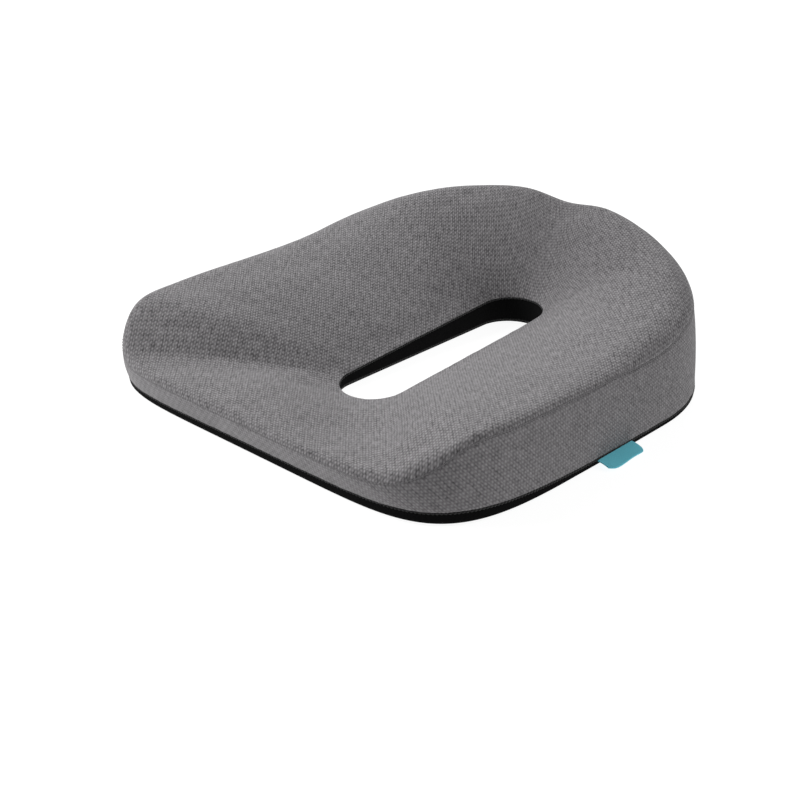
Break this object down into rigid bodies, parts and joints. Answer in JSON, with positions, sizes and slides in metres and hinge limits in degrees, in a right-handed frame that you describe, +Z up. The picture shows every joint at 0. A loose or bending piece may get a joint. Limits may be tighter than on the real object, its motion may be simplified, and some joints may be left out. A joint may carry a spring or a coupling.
{
  "type": "seat cushion",
  "caption": "Contoured ring seat cushion with a lengthwise through slot, low front, raised sides and back, zipped knit cover, black base and a side label.",
  "frame": {"origin": "on the floor, under the middle of the overall box, which includes the label on the right side", "axes": "+Z up, -Y towards the low front edge where the thighs lie, +Y towards the raised back, +X towards the right side with the label"},
  "size_m": [0.4742, 0.4574, 0.1234],
  "materials": {
    "memory_foam": "open-cell memory foam, off-white",
    "grey_knit": "mid-grey ribbed mesh knit, matt",
    "black_lining": "plain black woven lining, matt",
    "black_base": "black anti-slip fabric with small rubber dots",
    "grey_thread": "grey sewing thread",
    "black_thread": "black sewing thread",
    "zip_tape": "black woven zip tape",
    "zip_coil": "black nylon coil",
    "zip_metal": "black enamelled zinc",
    "teal_label": "teal woven ribbon, matt"
  },
  "bodies": {
    "cushion": {"foam_core": "memory_foam", "top_panel": "grey_knit", "side_band": "grey_knit", "band_upper_strip": "grey_knit", "band_lower_strip": "grey_knit", "slot_lining": "black_lining", "base_panel": "black_base", "upper_seam": "grey_thread", "base_seam": "black_thread", "slot_rim_seam": "black_thread", "slot_base_seam": "black_thread", "band_join_seam_left": "grey_thread", "band_join_seam_right": "grey_thread", "zip_tape_upper": "zip_tape", "zip_tape_lower": "zip_tape", "zip_coil_upper": "zip_coil", "zip_coil_lower": "zip_coil", "zip_stop_left": "zip_metal", "zip_stop_right": "zip_metal"},
    "zip_slider": {"zip_slider": "zip_metal"},
    "zip_pull": {"zip_pull": "zip_metal"},
    "side_tag": {"side_tag": "teal_label"}
  },
  "joints": [
    {"name": "zip_slider_travel", "type": "hinge", "parent": "cushion", "child": "zip_slider", "pos_m": [-0.00874, -0.16711, 0.042], "axis": [0, 0, -1], "range_deg": [0, 35]},
    {"name": "zip_pull_flip", "type": "hinge", "parent": "zip_slider", "child": "zip_pull", "pos_m": [-0.12865, 0.21241, 0.042], "axis": [0, 0, 1], "range_deg": [0, 170]},
    {"name": "side_tag_fold", "type": "hinge", "parent": "cushion", "child": "side_tag", "pos_m": [0.22064, -0.013, 0.00555], "axis": [0, -1, 0], "range_deg": [0, 75]}
  ]
}
